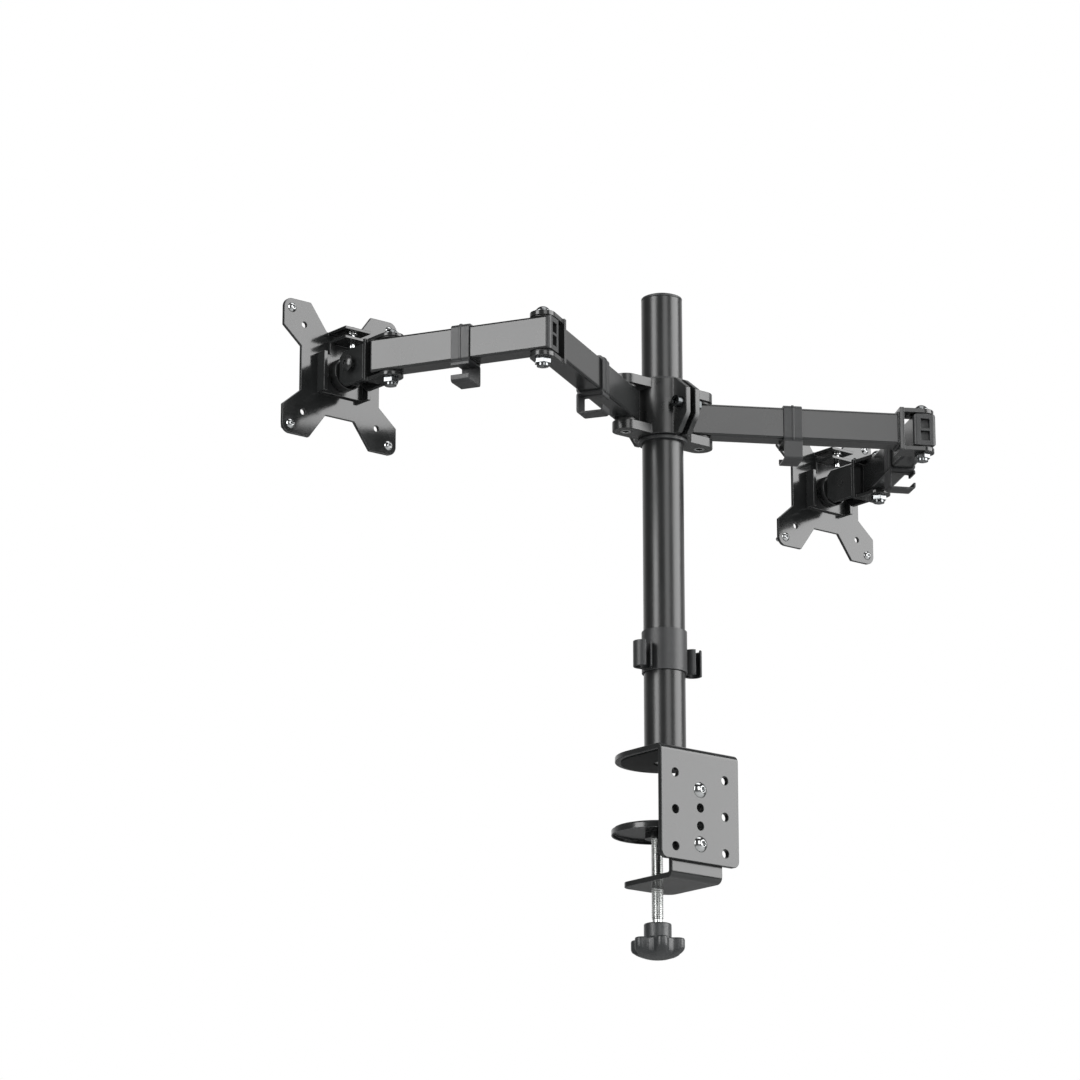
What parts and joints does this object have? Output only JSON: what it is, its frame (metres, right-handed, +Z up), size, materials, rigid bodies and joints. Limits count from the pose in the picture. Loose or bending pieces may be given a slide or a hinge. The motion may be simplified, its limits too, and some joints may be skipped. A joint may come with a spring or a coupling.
{
  "type": "dual monitor arm",
  "caption": "Desk-clamped pole with a sliding collar, two folding arms and tilting, rolling, height-levelled monitor plates.",
  "frame": {"origin": "on the desk's top, under the axis of the pole", "axes": "+Z up along the pole, +Y towards the user, +X to the left-hand monitor of the user"},
  "size_m": [0.6618, 0.2126, 0.574],
  "materials": {
    "painted_plate": "satin powder coat",
    "painted_tube": "satin powder coat",
    "dark_plastic": "fine moulded grain",
    "rubber": "matt",
    "washer": "smooth nylon",
    "bright_steel": "bright plated"
  },
  "bodies": {
    "stand": {"clamp_bracket": "painted_plate", "lower_bracket": "painted_plate", "bracket_bolts": "bright_steel", "jaw_pad": "rubber", "pole_base_screw": "bright_steel", "pole": "painted_tube", "pole_cap": "dark_plastic"},
    "pole_clip": {"pole_clip": "dark_plastic"},
    "pressure": {"pressure_plate": "painted_plate", "pressure_pad": "rubber"},
    "screw": {"clamp_screw": "bright_steel", "clamp_knob": "dark_plastic"},
    "liner": {"collar_liner": "dark_plastic"},
    "collar": {"collar_left_half": "painted_plate", "collar_right_half": "painted_plate", "collar_bolts": "bright_steel", "left_shoulder_bolt": "bright_steel", "right_shoulder_bolt": "bright_steel"},
    "left_inner_arm": {"left_shoulder_washers": "washer", "left_inner_tube": "painted_tube", "left_inner_end_cap": "dark_plastic", "left_elbow_fork": "painted_plate", "left_inner_clip": "dark_plastic", "left_elbow_bolt": "bright_steel"},
    "left_outer_arm": {"left_elbow_washers": "washer", "left_outer_tube": "painted_tube", "left_outer_end_caps": "dark_plastic", "left_outer_clip": "dark_plastic"},
    "left_head": {"left_pan_bolt": "bright_steel", "left_pan_washers": "washer", "left_pan_bracket": "painted_plate", "left_tilt_yoke": "painted_plate", "left_tilt_bolt": "painted_plate"},
    "left_knuckle": {"left_tilt_knuckle": "dark_plastic"},
    "left_adapter": {"left_adapter": "painted_plate", "left_adapter_rivets": "bright_steel"},
    "left_plate": {"left_vesa_plate": "painted_plate", "left_vesa_screws": "bright_steel"},
    "left_level_screw": {"left_level_screw": "bright_steel"},
    "right_inner_arm": {"right_shoulder_washers": "washer", "right_inner_tube": "painted_tube", "right_inner_end_cap": "dark_plastic", "right_elbow_fork": "painted_plate", "right_inner_clip": "dark_plastic", "right_elbow_bolt": "bright_steel"},
    "right_outer_arm": {"right_elbow_washers": "washer", "right_outer_tube": "painted_tube", "right_outer_end_caps": "dark_plastic", "right_outer_clip": "dark_plastic"},
    "right_head": {"right_pan_bolt": "bright_steel", "right_pan_washers": "washer", "right_pan_bracket": "painted_plate", "right_tilt_yoke": "painted_plate", "right_tilt_bolt": "painted_plate"},
    "right_knuckle": {"right_tilt_knuckle": "dark_plastic"},
    "right_adapter": {"right_adapter": "painted_plate", "right_adapter_rivets": "bright_steel"},
    "right_plate": {"right_vesa_plate": "painted_plate", "right_vesa_screws": "bright_steel"},
    "right_level_screw": {"right_level_screw": "bright_steel"}
  },
  "joints": [
    {"name": "clip_slide", "type": "slide", "parent": "stand", "child": "pole_clip", "axis": [0, 0, 1], "range_m": [-0.06, 0.14]},
    {"name": "pressure_slide", "type": "slide", "parent": "stand", "child": "pressure", "axis": [0, 0, 1], "range_m": [-0.018, 0.027]},
    {"name": "knob_turn", "type": "hinge", "parent": "pressure", "child": "screw", "pos_m": [0, 0.0113, -0.06], "axis": [0, 0, 1], "range_deg": [-4320, 6480]},
    {"name": "collar_slide", "type": "slide", "parent": "stand", "child": "liner", "axis": [0, 0, 1], "range_m": [-0.12, 0.07]},
    {"name": "collar_swivel", "type": "hinge", "parent": "liner", "child": "collar", "pos_m": [0, 0, 0.305], "axis": [0, 0, 1], "range_deg": [-90, 90]},
    {"name": "left_shoulder", "type": "hinge", "parent": "collar", "child": "left_inner_arm", "pos_m": [-0.041, 0, 0.305], "axis": [0, 0, -1], "range_deg": [-45, 60]},
    {"name": "left_elbow", "type": "hinge", "parent": "left_inner_arm", "child": "left_outer_arm", "pos_m": [-0.21074, -0.098, 0.305], "axis": [0, 0, -1], "range_deg": [-92, 20]},
    {"name": "left_pan", "type": "hinge", "parent": "left_outer_arm", "child": "left_head", "pos_m": [-0.27287, 0.02185, 0.305], "axis": [0, 0, -1], "range_deg": [-75, 75]},
    {"name": "left_tilt", "type": "hinge", "parent": "left_head", "child": "left_knuckle", "pos_m": [-0.27287, 0.05785, 0.305], "axis": [1, 0, 0], "range_deg": [-30, 30]},
    {"name": "left_roll", "type": "hinge", "parent": "left_knuckle", "child": "left_adapter", "pos_m": [-0.27287, 0.08185, 0.305], "axis": [0, -1, 0], "range_deg": [-180, 180]},
    {"name": "left_level", "type": "slide", "parent": "left_adapter", "child": "left_plate", "axis": [0, 0, 1], "range_m": [-0.003, 0.005]},
    {"name": "left_level_turn", "type": "hinge", "parent": "left_plate", "child": "left_level_screw", "pos_m": [-0.27287, 0.07536, 0.335], "axis": [0, 0, 1], "range_deg": [-1350, 2250]},
    {"name": "right_shoulder", "type": "hinge", "parent": "collar", "child": "right_inner_arm", "pos_m": [0.041, 0, 0.305], "axis": [0, 0, 1], "range_deg": [-45, 60]},
    {"name": "right_elbow", "type": "hinge", "parent": "right_inner_arm", "child": "right_outer_arm", "pos_m": [0.21074, -0.098, 0.305], "axis": [0, 0, 1], "range_deg": [-92, 20]},
    {"name": "right_pan", "type": "hinge", "parent": "right_outer_arm", "child": "right_head", "pos_m": [0.27287, 0.02185, 0.305], "axis": [0, 0, 1], "range_deg": [-75, 75]},
    {"name": "right_tilt", "type": "hinge", "parent": "right_head", "child": "right_knuckle", "pos_m": [0.27287, 0.05785, 0.305], "axis": [1, 0, 0], "range_deg": [-30, 30]},
    {"name": "right_roll", "type": "hinge", "parent": "right_knuckle", "child": "right_adapter", "pos_m": [0.27287, 0.08185, 0.305], "axis": [0, 1, 0], "range_deg": [-180, 180]},
    {"name": "right_level", "type": "slide", "parent": "right_adapter", "child": "right_plate", "axis": [0, 0, 1], "range_m": [-0.003, 0.005]},
    {"name": "right_level_turn", "type": "hinge", "parent": "right_plate", "child": "right_level_screw", "pos_m": [0.27287, 0.07536, 0.335], "axis": [0, 0, 1], "range_deg": [-1350, 2250]}
  ],
  "couplings": [
    {"joint": "knob_turn", "follows": "pressure_slide", "rad_per_m": 4188.8},
    {"joint": "left_level_turn", "follows": "left_level", "rad_per_m": 7854},
    {"joint": "right_level_turn", "follows": "right_level", "rad_per_m": 7854}
  ]
}
